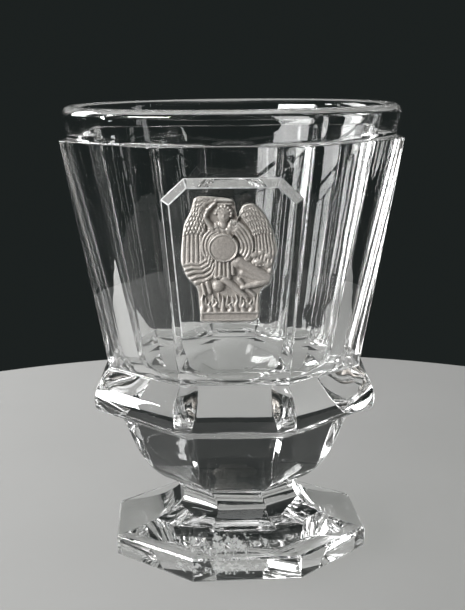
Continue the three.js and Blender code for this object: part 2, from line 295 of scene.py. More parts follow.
def cameo_paste():
    """Pressed white paste: satin, warm grey, with painted shade in the hollows and a painted highlight
    on the high parts.
    """
    material, tree = new_material("cameo_paste")
    place = millimetres(tree)
    hollow = tree.add("ShaderNodeAttribute", output="Fac", attribute_name="hollow")
    painted_highlight = tree.add("ShaderNodeAttribute", output="Fac", attribute_name="painted_highlight")
    mottle = noise(tree, place, 2.4, detail=4.0)
    pale = tree.blend(mottle, (0.65, 0.595, 0.55, 1), (0.75, 0.695, 0.65, 1))
    # Painted highlight: the ridges and the left and right rims lightened towards near-white.
    pale = tree.blend(painted_highlight * 0.7, pale, (0.86, 0.84, 0.80, 1))
    # Painted shade: the hollows darkened towards a deep warm grey.
    colour = tree.blend(hollow * 0.7, pale, (0.27, 0.245, 0.215, 1))
    speckle = noise(tree, place, 0.42, detail=3.0, roughness=0.7).step(0.38, 0.66)
    colour = tree.blend(speckle * 0.45, colour, (0.36, 0.33, 0.30, 1))
    grain = noise(tree, place, 0.35, detail=3.0) * 0.06 + noise(tree, place, 1.1, detail=2.0) * 0.14
    normal = tree.add("ShaderNodeBump", {"Height": grain, "Strength": 1.0, "Distance": MM})
    paste = tree.add(
        "ShaderNodeBsdfPrincipled",
        {
            "Base Color": colour,
            "Metallic": 0.2,
            "Roughness": noise(tree, place, 1.1) * 0.2 + 0.3,
            "Normal": normal,
        },
    )
    tree.add("ShaderNodeOutputMaterial", {"Surface": paste})
    return material


# Meshes


def put_in_scene(name, data):
    thing = bpy.data.objects.new(name, data)
    bpy.context.scene.collection.objects.link(thing)
    return thing


def make_piece(name, points, faces, material):
    """A mesh object from points in millimetres."""
    mesh = bpy.data.meshes.new(name)
    mesh.from_pydata((np.asarray(points) * MM).tolist(), [], faces)
    mesh.materials.append(material)
    mesh.shade_smooth()
    return put_in_scene(name, mesh)


def keep_body(name, body, materials):
    """A mesh object from a body that is done."""
    mesh = bpy.data.meshes.new(name)
    body.to_mesh(mesh)
    body.free()
    for material in materials:
        mesh.materials.append(material)
    return put_in_scene(name, mesh)


def points_of(mesh):
    flat = np.empty(len(mesh.vertices) * 3, np.float32)
    mesh.vertices.foreach_get("co", flat)
    return flat.reshape(-1, 3).astype(float) / MM


def set_points(mesh, points):
    mesh.vertices.foreach_set("co", (points * MM).astype(np.float32).ravel())
    mesh.update()


def curve(start, pull_start, pull_end, end, steps):
    """Points of a curve in a profile, bent towards two pull points."""
    t = np.linspace(0, 1, steps + 1)[:, None]
    corners = np.array([start, pull_start, pull_end, end], float)
    weights = np.hstack([(1 - t) ** 3, 3 * t * (1 - t) ** 2, 3 * t**2 * (1 - t), t**3])
    return [tuple(point) for point in weights @ corners]


def arc(middle, round_radius, start, end, steps):
    """Points of an arc in a profile, angles in degrees from the outward radius."""
    angles = np.radians(np.linspace(start, end, steps + 1))
    across = middle[0] + round_radius * np.cos(angles)
    up = middle[1] + round_radius * np.sin(angles)
    return list(zip(across, up))


def rounded_corner(start, corner, end, parts):
    """Points on the way from start to end, rounded towards the corner."""
    return [(1 - t) ** 2 * start + 2 * t * (1 - t) * corner + t**2 * end for t in parts]


def eased(corner, before, after, ease=EDGE_EASE):
    """A broken edge in a profile, with a close row on both sides."""
    corner, before, after = (np.array(point, float) for point in (corner, before, after))
    back = (before - corner) / np.linalg.norm(before - corner)
    on = (after - corner) / np.linalg.norm(after - corner)
    start, end = corner + back * ease, corner + on * ease
    rows = rounded_corner(start, corner, end, (0, 0.3, 0.5, 0.7, 1))
    rows = [corner + back * (ease + BESIDE), *rows, corner + on * (ease + BESIDE)]
    return [tuple(row) for row in rows]


def side_section(half, ease=ARRIS_EASE):
    """Points across one flat side, from arris to arris, as x and distance from the axis."""
    reach = half * HALF_SIDE
    ease = min(ease, reach * 0.3)
    beside = min(BESIDE, reach * 0.1)
    corner = np.array([reach, half])
    before = corner - [ease, 0]
    after = corner + ease * np.array([math.cos(SIDE_ANGLE), -math.sin(SIDE_ANGLE)])
    flat = [(x, half) for x in np.linspace(0, reach - ease - beside, FLAT_STEPS)]
    right = np.array([*flat, *rounded_corner(before, corner, after, (0, 0.25, 0.5))])
    left = right[:0:-1] * [-1, 1]
    return np.vstack([left, right])


ROUND_ANGLES = np.arctan2(*side_section(PANEL_TOP_HALF).T)


def cut_row(half, z):
    section = side_section(half)
    return np.column_stack([section[:, 0], -section[:, 1], np.full(len(section), z)])


def round_row(radius, z, within=None):
    """A row of a turned surface, kept inside a flat-sided one where that is given."""
    radii = np.full(len(ROUND_ANGLES), float(radius))
    if within:
        radii = np.minimum(radii, within / np.cos(ROUND_ANGLES))
    across = radii * np.sin(ROUND_ANGLES)
    return np.column_stack([across, -radii * np.cos(ROUND_ANGLES), np.full(len(radii), z)])


def ring_of_sides(material):
    """A node group that repeats one side round the axis and joins the copies."""
    group = bpy.data.node_groups.new("ring_of_sides", "GeometryNodeTree")
    group.interface.new_socket("Side", in_out="INPUT", socket_type="NodeSocketGeometry")
    for name, kind in (("Sides", "Int"), ("Joining distance", "Float")):
        group.interface.new_socket(name, in_out="INPUT", socket_type="NodeSocket" + kind)
    group.interface.new_socket("Ring", in_out="OUTPUT", socket_type="NodeSocketGeometry")
    tree = Tree(group)
    given = tree.add("NodeGroupInput")
    side, sides, distance = tree.outputs(given, 3)
    places = tree.add("GeometryNodePoints", {"Count": sides})
    angle = tree.add("GeometryNodeInputIndex") * (2 * math.pi) / sides
    turn = tree.add("ShaderNodeCombineXYZ", {"Z": angle})
    turn = tree.add("FunctionNodeEulerToRotation", {"Euler": turn})
    sockets = {"Points": places, "Instance": side, "Rotation": turn}
    copies = tree.add("GeometryNodeInstanceOnPoints", sockets)
    real = tree.add("GeometryNodeRealizeInstances", {"Geometry": copies})
    joined = tree.add("GeometryNodeMergeByDistance", {"Geometry": real, "Distance": distance})
    dressed = tree.add("GeometryNodeSetMaterial", {"Geometry": joined, "Material": material})
    tree.add("NodeGroupOutput", {"Ring": dressed})
    return group


def apply_nodes(piece, group, **values):
    """Runs a node group on a piece and keeps the result as its plain mesh."""
    modifier = piece.modifiers.new(group.name, "NODES")
    modifier.node_group = group
    for item in group.interface.items_tree:
        if item.in_out == "INPUT" and item.name in values:
            modifier[item.identifier] = values[item.name]
    depsgraph = bpy.context.evaluated_depsgraph_get()
    result = bpy.data.meshes.new_from_object(piece.evaluated_get(depsgraph))
    piece.modifiers.remove(modifier)
    plain = piece.data
    piece.data = result
    bpy.data.meshes.remove(plain)
    result.name = piece.name
    return piece


def ring_piece(name, rows, group, material):
    """A closed body from the rows of its front side, given from pole to pole."""
    count = len(rows[0])
    faces = [
        (corner, corner + 1, corner + count + 1, corner + count)
        for row in range(len(rows) - 1)
        for corner in range(row * count, row * count + count - 1)
    ]
    piece = make_piece(name, np.vstack(rows), faces, material)
    apply_nodes(piece, group, **{"Sides": SIDES, "Joining distance": JOINING_DISTANCE * MM})
    return piece


def mark(mesh, material, chosen):
    """Gives the chosen faces a further material, with a hard edge round them."""
    mesh.materials.append(material)
    index = np.zeros(len(mesh.polygons), np.int32)
    mesh.polygons.foreach_get("material_index", index)
    index[chosen] = len(mesh.materials) - 1
    mesh.polygons.foreach_set("material_index", index)
    body = bmesh.new()
    body.from_mesh(mesh)
    for edge in body.edges:
        if len({face.material_index for face in edge.link_faces}) > 1:
            edge.smooth = False
    body.to_mesh(mesh)
    body.free()


def seat_faces(mesh, z):
    """Which faces lie flat at a height."""
    there = np.abs(points_of(mesh)[:, 2] - z) < 1e-3
    return np.array([all(there[corner] for corner in face.vertices) for face in mesh.polygons])


# Foot and neck wafer


def foot_rows():
    edge = (FOOT_EDGE_FRONT + FOOT_EDGE_BACK) / 2
    sweep = curve(
        (FOOT_HALF, edge),
        (FOOT_HALF - 8.6, edge + 1.5),
        (FOOT_SEAT_HALF + 2.7, edge + 0.45 * (FOOT_TOP - edge)),
        (FOOT_SEAT_HALF, FOOT_TOP),
        26,
    )
    below, above = (FOOT_HALF, edge - FOOT_BEVEL), (FOOT_HALF - 0.8 * FOOT_BEVEL, edge + 0.1)
    profile = [
        (0, 0),
        *eased((FOOT_HALF, 0), (0, 0), below, 0.35),
        *eased(below, (FOOT_HALF, 0), above, 0.06),
        *eased(above, below, sweep[1], 0.06),
        *sweep[1:],
        (0, FOOT_TOP),
    ]
    return [cut_row(half, z) for half, z in profile]


def lean_and_turn_foot(points):
    """The top leans back at the foot's edge, and the whole foot stands a little turned."""
    lean = (FOOT_EDGE_FRONT - FOOT_EDGE_BACK) / (2 * FOOT_HALF)
    angles = np.arctan2(points[:, 0], -points[:, 1])
    nearest = np.round(angles / SIDE_ANGLE) * SIDE_ANGLE
    halves = np.hypot(points[:, 0], points[:, 1]) * np.cos(angles - nearest)
    fade = np.clip((halves - FOOT_SEAT_HALF) / (FOOT_HALF - FOOT_SEAT_HALF), 0, 1)
    top = np.clip((points[:, 2] - 1.0) / 3.0, 0, 1)
    points[:, 2] -= lean * fade * top * points[:, 1]
    return turned_and_shifted(points, np.ones(len(points)))


def turned_and_shifted(points, part):
    """The foot's turn and place, by how much of them each point follows."""
    angle = FOOT_TURN * part
    x, y = points[:, 0].copy(), points[:, 1].copy()
    points[:, 0] = x * np.cos(angle) - y * np.sin(angle) + FOOT_SHIFT[0] * part
    points[:, 1] = x * np.sin(angle) + y * np.cos(angle) + FOOT_SHIFT[1] * part
    return points


def make_foot(group, glass, joint):
    foot = ring_piece("foot_glass", foot_rows(), group, glass)
    seat = seat_faces(foot.data, FOOT_TOP)
    set_points(foot.data, lean_and_turn_foot(points_of(foot.data)))
    mark(foot.data, joint, seat)
    return foot


def make_neck(group, glass, joint):
    rows = [cut_row(0, FOOT_TOP)]
    for part in np.linspace(0, 1, 13):
        half = FOOT_SEAT_HALF + (NECK_TOP_HALF - FOOT_SEAT_HALF) * part
        half -= NECK_WAIST * math.sin(math.pi * part)
        rows.append(cut_row(half, FOOT_TOP + part * (NECK_TOP - FOOT_TOP)))
    rows.append(cut_row(0, NECK_TOP))
    neck = ring_piece("neck_glass", rows, group, glass)
    seats = seat_faces(neck.data, FOOT_TOP) | seat_faces(neck.data, NECK_TOP)
    points = points_of(neck.data)
    part = 1 - (points[:, 2] - FOOT_TOP) / (NECK_TOP - FOOT_TOP)
    set_points(neck.data, turned_and_shifted(points, part))
    mark(neck.data, joint, seats)
    return neck


# Bowl. The materials of bowl and cover, in their order on the meshes:
CLEAR, JOINT, WORN_EDGE, WORN_BEVEL_AND_HIGHLIGHT = range(4)


def underside_and_belt():
    rise = SOFFIT_Z - NECK_TOP
    spread = UNDERSIDE_HALF - NECK_TOP_HALF
    underside = curve(
        (NECK_TOP_HALF, NECK_TOP),
        (NECK_TOP_HALF + 0.63 * spread, NECK_TOP + 0.2 * rise),
        (NECK_TOP_HALF + 0.77 * spread, NECK_TOP + 0.6 * rise),
        (UNDERSIDE_HALF, SOFFIT_Z),
        30,
    )
    belt_height = PANEL_FOOT_Z - BELT_EDGE_Z
    belt = curve(
        (BELT_EDGE_HALF, BELT_EDGE_Z),
        (BELT_EDGE_HALF + BELT_BULGE, BELT_EDGE_Z + 0.37 * belt_height),
        (PANEL_FOOT_HALF + 1.5 * BELT_BULGE, PANEL_FOOT_Z - 0.25 * belt_height),
        (PANEL_FOOT_HALF, PANEL_FOOT_Z),
        22,
    )
    panel_top = (PANEL_TOP_HALF, PANEL_TOP_Z)
    return [
        *underside[:-1],
        *eased(underside[-1], underside[-2], belt[0]),
        *eased(belt[0], underside[-1], belt[1], 0.3),
        *belt[2:-2],
        *eased(belt[-1], belt[-2], panel_top),
        *eased(panel_top, belt[-1], (PANEL_TOP_HALF - 3, PANEL_TOP_Z), LEDGE_EASE),
    ]


def cavity_wall():
    """The inside, from the mouth down to the fillet and the floor."""
    flare = math.atan2(MOUTH_RADIUS - CAVITY_FLOOR_RADIUS, RIM_Z - CAVITY_FLOOR_Z)
    inset = CAVITY_FLOOR_FILLET * (1 - math.sin(flare)) / math.cos(flare)
    fillet = arc(
        (CAVITY_FLOOR_RADIUS - inset, CAVITY_FLOOR_Z + CAVITY_FLOOR_FILLET),
        CAVITY_FLOOR_FILLET,
        -math.degrees(flare),
        -90,
        16,
    )
    start = np.array((MOUTH_RADIUS, RIM_Z - LIP_ROUND))
    wall = [tuple(start + (np.array(fillet[0]) - start) * part) for part in np.linspace(0, 1, 34)]
    floor = [
        (fillet[-1][0] * part, CAVITY_FLOOR_Z - CAVITY_FLOOR_SAG * (1 - part**2))
        for part in np.linspace(0.9, 0, 10)
    ]
    return [*wall[1:], *fillet[1:], *floor]


def bowl_rows():
    ledge = PANEL_TOP_HALF - 0.5
    lip_z = RIM_Z - LIP_ROUND
    collar = [
        (
            COLLAR_FOOT_RADIUS + (RIM_RADIUS - COLLAR_FOOT_RADIUS) * part,
            COLLAR_FOOT_Z + (lip_z - COLLAR_FOOT_Z) * part,
        )
        for part in np.linspace(0, 1, 9)
    ]
    lip = arc((RIM_RADIUS - LIP_ROUND, lip_z), LIP_ROUND, 0, 90, 12)[1:]
    inner_lip = arc((MOUTH_RADIUS + LIP_ROUND, lip_z), LIP_ROUND, 90, 180, 12)
    turned = [*collar, *lip, *inner_lip, *cavity_wall()]
    return [
        cut_row(0, NECK_TOP),
        *(cut_row(half, z) for half, z in underside_and_belt()),
        round_row(COLLAR_FOOT_RADIUS + 0.45, PANEL_TOP_Z + 0.03, within=ledge),
        round_row(COLLAR_FOOT_RADIUS + 0.2, PANEL_TOP_Z + 0.12, within=ledge - 0.02),
        round_row(COLLAR_FOOT_RADIUS + 0.04, PANEL_TOP_Z + 0.3, within=ledge),
        *(round_row(radius, z) for radius, z in turned),
    ]


def cavity_radius(z):
    rise = (z - CAVITY_FLOOR_Z) / (RIM_Z - CAVITY_FLOOR_Z)
    return CAVITY_FLOOR_RADIUS + (MOUTH_RADIUS - CAVITY_FLOOR_RADIUS) * rise


def wave_cavity(points):
    """The inside was never cut, so it keeps the slow waves of the hot glass."""
    x, y, z = points.T
    angle, radius = np.arctan2(x, -y), np.hypot(x, y)
    inside = (radius < cavity_radius(z) + 0.1) & (radius > 8)
    inside &= (z < RIM_Z - LIP_ROUND) & (z > CAVITY_FLOOR_Z - 3)
    wave = np.sin(5 * angle + 0.06 * z) * np.sin(z / 7.5 + 1.3 * np.sin(2 * angle))
    wave += 0.4 * np.sin(7 * angle - 0.11 * z + 0.8) + 0.4 * np.sin(z / 5.2 + 3 * angle)
    gain = 1 + np.where(inside, CAVITY_WAVE * wave * np.clip((RIM_Z - 6 - z) / 8, 0, 1) / radius, 0)
    points[:, 0] *= gain
    points[:, 1] *= gain
    return points


def widen_front_panel(points):
    """The front panel is cut wider than the others towards the rim, at its own distance."""
    x, y, z = points.T
    rise = np.clip((z - PANEL_FOOT_Z) / (PANEL_TOP_Z - PANEL_FOOT_Z), 0, 1)
    gain = (FRONT_PANEL_TOP_WIDTH / 2 - PANEL_TOP_HALF * HALF_SIDE) * rise
    angle = np.abs(np.arctan2(x, -y))
    on_front = np.tan(np.minimum(angle, SIDE_ANGLE / 2)) / HALF_SIDE
    beside = np.clip(angle - SIDE_ANGLE, -SIDE_ANGLE / 2, SIDE_ANGLE / 2)
    on_next = 1 - (np.tan(beside) + HALF_SIDE) / (2 * HALF_SIDE)
    share = np.where(angle <= SIDE_ANGLE / 2, on_front, on_next)
    outside = (np.hypot(x, y) > cavity_radius(z) + 1) & (z < PANEL_TOP_Z + 0.01)
    points[:, 0] += np.where(outside, np.sign(x) * gain * share, 0)
    return points


def panel_matrix():
    lean = Matrix.Rotation(math.pi / 2 + PANEL_LEAN, 4, "X")
    return Matrix.Translation((0, -PANEL_FOOT_HALF, PANEL_FOOT_Z)) @ lean


def on_panel(points):
    """Points of the front panel's own frame, placed in the beaker's."""
    matrix = np.array(panel_matrix())
    return np.asarray(points, float) @ matrix[:3, :3].T + matrix[:3, 3]


def inset(outline, distances):
    """Moves each side of a convex outline inwards by its own distance."""
    outline = np.asarray(outline, float)
    along = np.roll(outline, -1, axis=0) - outline
    along /= np.linalg.norm(along, axis=1)[:, None]
    inwards = np.column_stack([-along[:, 1], along[:, 0]])
    starts = outline + inwards * np.asarray(distances, float)[:, None]
    corners = []
    for side in range(len(outline)):
        turn = np.array([along[side - 1], -along[side]]).T
        reach = np.linalg.solve(turn, starts[side] - starts[side - 1])[0]
        corners.append(starts[side - 1] + along[side - 1] * reach)
    return np.array(corners)


def tablet_outline():
    top = TABLET_FOOT_GAP + TABLET_HEIGHT
    right = [
        (TABLET_FOOT_WIDTH / 2, TABLET_FOOT_GAP),
        (TABLET_WIDTH / 2, top - TABLET_CORNER_DROP),
        (TABLET_TOP_WIDTH / 2, top),
    ]
    return [*right, *((-x, y) for x, y in reversed(right))]


def loop(body, outline, height):
    """A closed line of new points in a mesh, at a height over the front panel."""
    points = on_panel([(x, y, height) for x, y in outline])
    corners = [body.verts.new(Vector(point) * MM) for point in points]
    return [body.edges.new((a, b)) for a, b in zip(corners, corners[1:] + corners[:1])]


def between(point, corners, lines):
    """Whether a point lies inside an odd number of closed lines."""
    crossed = 0
    for first, second in lines:
        a, b = corners[first], corners[second]
        if (a.y > point.y) != (b.y > point.y):
            crossed += point.x < a.x + (point.y - a.y) * (b.x - a.x) / (b.y - a.y)
    return crossed % 2 == 1


def fill(body, edges, material_index, turned=False):
    """Flat faces between closed lines of the front panel's plane."""
    used = list({vertex for edge in edges for vertex in edge.verts})
    number = {vertex: count for count, vertex in enumerate(used)}
    to_panel = panel_matrix().inverted()
    corners = [(to_panel @ (vertex.co / MM)).xy for vertex in used]
    lines = [tuple(number[vertex] for vertex in edge.verts) for edge in edges]
    places, _, triangles, origins, _, _ = delaunay_2d_cdt(corners, lines, [], 1, 1e-6)
    for triangle in triangles:
        middle = sum((places[corner] for corner in triangle), Vector((0, 0))) / 3
        if between(middle, corners, lines):
            order = triangle[::-1] if turned else triangle
            face = body.faces.new([used[origins[corner][0]] for corner in order])
            face.material_index = material_index
            face.smooth = True


def walls(body, start, end, material_index):
    """Faces between two like lines: outwards where the end is above the start, else inwards."""
    for first, second in zip(start, end):
        a, b = first.verts
        c, d = second.verts
        face = body.faces.new((a, b, d, c))
        face.material_index = material_index
        face.smooth = False


def lay_open_front_panel(mesh, pocket, joint):
    """Draws the tablet's outline and sinks the cameo's hollow in the flat front panel."""
    mesh.materials.append(joint)
    body = bmesh.new()
    body.from_mesh(mesh)
    to_panel = panel_matrix().inverted()
    margin = ARRIS_EASE + BESIDE
    flat = []
    for face in body.faces:
        corners = [to_panel @ (vertex.co / MM) for vertex in face.verts]
        if max(abs(corner.z) for corner in corners) > 0.01:
            continue
        middle = sum(corners, Vector()) / len(corners)
        reach = PANEL_FOOT_HALF * HALF_SIDE
        reach += (FRONT_PANEL_TOP_WIDTH / 2 - reach) * middle.y / PANEL_LENGTH
        inside = EDGE_EASE + BESIDE < middle.y < PANEL_LENGTH - LEDGE_EASE - BESIDE
        if inside and abs(middle.x) < reach - margin:
            flat.append(face)
    bmesh.ops.delete(body, geom=flat, context="FACES")
    border = [edge for edge in body.edges if len(edge.link_faces) == 1]
    tablet = loop(body, tablet_outline(), 0)
    hollow = loop(body, pocket, 0)
    hollow_floor = loop(body, pocket, -CAMEO_SUNK)
    fill(body, border + tablet, CLEAR)
    fill(body, tablet + hollow, JOINT)
    walls(body, hollow, hollow_floor, JOINT)
    fill(body, hollow_floor, JOINT)
    for edge in tablet + hollow + hollow_floor:
        edge.smooth = False
    body.to_mesh(mesh)
    body.free()


def make_bowl(group, glass, joint, pocket):
    bowl = ring_piece("bowl_glass", bowl_rows(), group, glass)
    set_points(bowl.data, wave_cavity(widen_front_panel(points_of(bowl.data))))
    lay_open_front_panel(bowl.data, pocket, joint)
    mark(bowl.data, joint, seat_faces(bowl.data, NECK_TOP))
    return bowl


# Cover tablet


def wear_cover(body, back):
    """A worn bevel on its top and its right, paler also as a painted highlight, and worn edges on all
    that doesn't rest.
    """
    for face in body.faces:
        slant = face.normal
        if 0.2 < slant.z < 0.95 and (slant.x > 0.3 or slant.y > 0.3):
            # Painted highlight: these up- and right-facing bevel faces are made paler.
            face.material_index = WORN_BEVEL_AND_HIGHLIGHT
    resting = {corner for line in back for corner in line.verts}
    seen = [
        line
        for line in body.edges
        if line.calc_face_angle(0) > 0.1 and not resting & set(line.verts)
    ]
    how = {"segments": 2, "profile": 0.5, "affect": "EDGES", "material": WORN_EDGE}
    bmesh.ops.bevel(body, geom=seen, offset=TABLET_EASE * MM, **how)


def make_tablet(materials, pocket):
    outline = tablet_outline()
    bevels = [TABLET_BEVEL] * (len(outline) - 1) + [TABLET_FOOT_BEVEL]
    body = bmesh.new()
    back = loop(body, outline, 0)
    edge = loop(body, outline, TABLET_EDGE)
    front = loop(body, inset(outline, bevels), TABLET_RISE)
    walls(body, back, edge, CLEAR)
    walls(body, edge, front, CLEAR)
    fill(body, front, CLEAR)
    body.normal_update()
    wear_cover(body, back)
    hollow = loop(body, pocket, 0)
    hollow_roof = loop(body, pocket, POCKET_RISE)
    fill(body, back + hollow, JOINT, turned=True)
    walls(body, hollow_roof, hollow, CLEAR)
    fill(body, hollow_roof, JOINT, turned=True)
    for face in body.faces:
        face.smooth = False
    return keep_body("tablet_glass", body, materials)


# Cameo: x and y from its middle, z from its back

CAMEO_MIDDLE = np.array([-1.4, -2.0])
OUTLINE = [
    (-6.9, -16.6), (5.9, -16.6), (7.7, -14.9), (7.8, -11.2), (8.0, -8.2), (10.5, -5.9),
    (11.1, -1.6), (12.2, 2.4), (11.2, 7.4), (9.2, 12.0), (6.3, 15.0), (4.1, 14.8), (2.9, 13.0),
    (2.3, 11.3), (1.9, 12.6), (1.3, 15.9), (-1.6, 16.7), (-6.9, 17.1), (-8.6, 16.3), (-9.3, 13.6),
    (-11.2, 9.4), (-11.9, 4.6), (-12.2, 0.0), (-10.7, -4.2), (-8.2, -7.2), (-7.8, -11.6), (-7.5, -14.8),
]
OUTLINE_STEPS = 10
COLUMNS = 540
RINGS = 120


def smooth_outline():
    """The outline's points, rounded between its corners."""
    points = np.array(OUTLINE)
    before, after, last = (np.roll(points, shift, axis=0) for shift in (1, -1, -2))
    slope = after - before
    bend = 2 * before - 5 * points + 4 * after - last
    twist = 3 * points - 3 * after + last - before
    shares = np.linspace(0, 1, OUTLINE_STEPS, endpoint=False)
    spline = [0.5 * (2 * points + slope * t + bend * t**2 + twist * t**3) for t in shares]
    straight = [points + (after - points) * t for t in shares]
    return (0.6 * np.stack(spline, axis=1) + 0.4 * np.stack(straight, axis=1)).reshape(-1, 2)


def outline_radius(angles):
    offsets = smooth_outline() - CAMEO_MIDDLE
    known = np.unwrap(np.arctan2(offsets[:, 1], offsets[:, 0]))
    radii = np.hypot(*offsets.T)
    order = np.argsort(known)
    return np.interp(angles, known[order], radii[order], period=2 * math.pi)


def rounded(distance, width, rise):
    """The height of a rounded form, at a distance from its middle line."""
    return rise * np.sqrt(np.clip(1 - (distance / width) ** 2, 0, 1))


def along_line(x, y, line):
    """For each point, its distance to a line through corners, and how far along it is, 0 to 1."""
    distance = np.full(x.shape, 1e9)
    part = np.zeros(x.shape)
    for count, (start, end) in enumerate(zip(line, line[1:])):
        dx, dy = end[0] - start[0], end[1] - start[1]
        t = np.clip(((x - start[0]) * dx + (y - start[1]) * dy) / (dx * dx + dy * dy), 0, 1)
        here = np.hypot(x - start[0] - t * dx, y - start[1] - t * dy)
        part = np.where(here < distance, (count + t) / (len(line) - 1), part)
        distance = np.minimum(here, distance)
    return distance, part


def limb(x, y, line, widths, rise):
    """A rounded limb or fold along a line, as wide as asked at its two ends."""
    distance, part = along_line(x, y, line)
    width = widths[0] + (widths[1] - widths[0]) * part
    return rounded(distance, width, rise)


def oval(x, y, middle, half_sizes, rise, turn=0.0):
    dx, dy = x - middle[0], y - middle[1]
    u = (dx * math.cos(turn) + dy * math.sin(turn)) / half_sizes[0]
    v = (dy * math.cos(turn) - dx * math.sin(turn)) / half_sizes[1]
    return rise * np.sqrt(np.clip(1 - u * u - v * v, 0, 1))


def hill(x, y, middle, half_sizes, rise):
    """A soft rise or, with a negative rise, a soft hollow."""
    u, v = (x - middle[0]) / half_sizes[0], (y - middle[1]) / half_sizes[1]
    return rise * np.exp(-(u**2) - v**2)


def feathers(x, y, heights, outer, inner, count, covert_y, lift):
    """Long feathers between two lines that run down the wing, under rows of short ones."""
    left = np.interp(y, heights, outer)
    right = np.interp(y, heights, inner)
    across = (x - left) / (right - left)
    inside = (across > -0.05) & (across < 1.0) & (y > heights[0]) & (y < heights[-1])
    place = np.clip(across, 0, 0.999) * count
    s = place % 1.0
    shaft = np.exp(-(((s - 0.55) / 0.12) ** 2))
    groove = np.exp(-((s / 0.09) ** 2))
    barbs = 0.035 * np.sin(2 * math.pi * (y * 1.5 + 1.8 * np.abs(s - 0.55)))
    long_ones = 0.26 * s + 0.12 * shaft - 0.2 * groove + barbs
    above = y - covert_y - 0.9 * np.sin(math.pi * across)
    tile = above / 1.25
    u = (place * 1.1 + np.floor(tile) % 2 * 0.5) % 1.0
    tile = tile + 0.5 * (2 * u - 1) ** 2
    fine = 0.04 * np.sin(2 * math.pi * (tile * 3 + 2.2 * np.abs(u - 0.5)))
    short_ones = 0.34 * (1 - tile % 1.0) + 0.14 * (1 - (2 * u - 1) ** 2) + fine
    bank = np.clip(above / 0.3, 0, 1)
    surface = long_ones * (1 - bank) + (short_ones + 0.14) * bank
    crown = 0.3 * np.sqrt(np.clip(1 - (2 * across - 1) ** 2, 0, 1))
    return np.where(inside, lift + crown + surface, 0)


def wings(x, y):
    left = feathers(
        x, y,
        [-1.2, 0.5, 4.6, 9.6, 13.0, 14.8, 17.2],
        [-12.6, -12.4, -12.2, -11.5, -10.1, -9.4, -8.2],
        [-5.4, -5.4, -5.5, -5.9, -6.0, -5.0, -3.6],
        6, 6.4, 0.22,
    )
    right = feathers(
        x, y,
        [-1.6, 0.5, 2.4, 7.4, 10.0, 12.2, 15.3],
        [5.4, 5.8, 6.3, 6.1, 4.6, 2.6, 3.2],
        [12.0, 12.2, 12.5, 11.5, 10.4, 9.3, 6.3],
        7, 6.2, 0.22,
    )
    left_edge = limb(x, y, [(-8.0, 9.0), (-7.6, 12.2), (-6.3, 14.9), (-3.9, 16.0)], (0.6, 0.85), 0.95)
    right_edge = limb(x, y, [(2.8, 11.8), (4.2, 13.9), (6.3, 14.4), (9.0, 11.9)], (0.4, 0.55), 0.85)
    return np.maximum.reduce([left, right, left_edge, right_edge])


# Limbs and folds: their line, their width at both ends and their height. Ovals: their middle, half
# sizes and height.
CLOAK_ENDS = [
    ([(-5.3, 2.4), (-5.9, 0.2), (-7.6, -0.9), (-9.6, -0.7), (-11.7, -1.1)], (0.45, 0.62), 0.85),
    ([(-4.8, 1.4), (-5.3, -0.7), (-7.2, -1.9), (-9.4, -1.7), (-11.4, -2.3)], (0.45, 0.6), 0.95),
    ([(-4.3, 0.4), (-4.9, -1.6), (-6.8, -2.9), (-9.0, -2.9), (-10.8, -3.6)], (0.45, 0.62), 0.85),
    ([(-3.9, -0.8), (-4.5, -2.8), (-6.2, -4.0), (-8.2, -4.2), (-9.9, -4.9)], (0.45, 0.62), 0.8),
    ([(-3.6, -2.2), (-4.4, -4.2), (-6.2, -5.4), (-8.4, -5.8)], (0.45, 0.7), 0.7),
]
CLOAK_BILLOWS = [
    ((6.4, 1.4), (1.5, 1.0), 0.95),
    ((8.3, 2.2), (1.3, 1.0), 0.9),
    ((10.0, 1.2), (1.4, 1.1), 0.95),
    ((7.6, -0.4), (1.7, 1.0), 1.05),
    ((9.9, -1.2), (1.3, 1.2), 0.9),
    ((4.8, 0.4), (1.2, 0.8), 0.85),
    ((10.6, -2.8), (0.9, 1.0), 0.85),
]
BODY_OVALS = [
    ((-1.1, 8.2), (3.4, 2.3), 0.85),
    ((-4.3, 8.6), (1.2, 1.3), 0.98),
    ((2.0, 8.4), (1.4, 1.3), 0.98),
    ((-3.1, 15.9), (0.7, 0.75), 1.1),
    ((1.9, -0.6), (1.5, 1.7), 1.06, 0.5),
    ((-2.8, -6.9), (1.7, 1.65), 1.0),
]
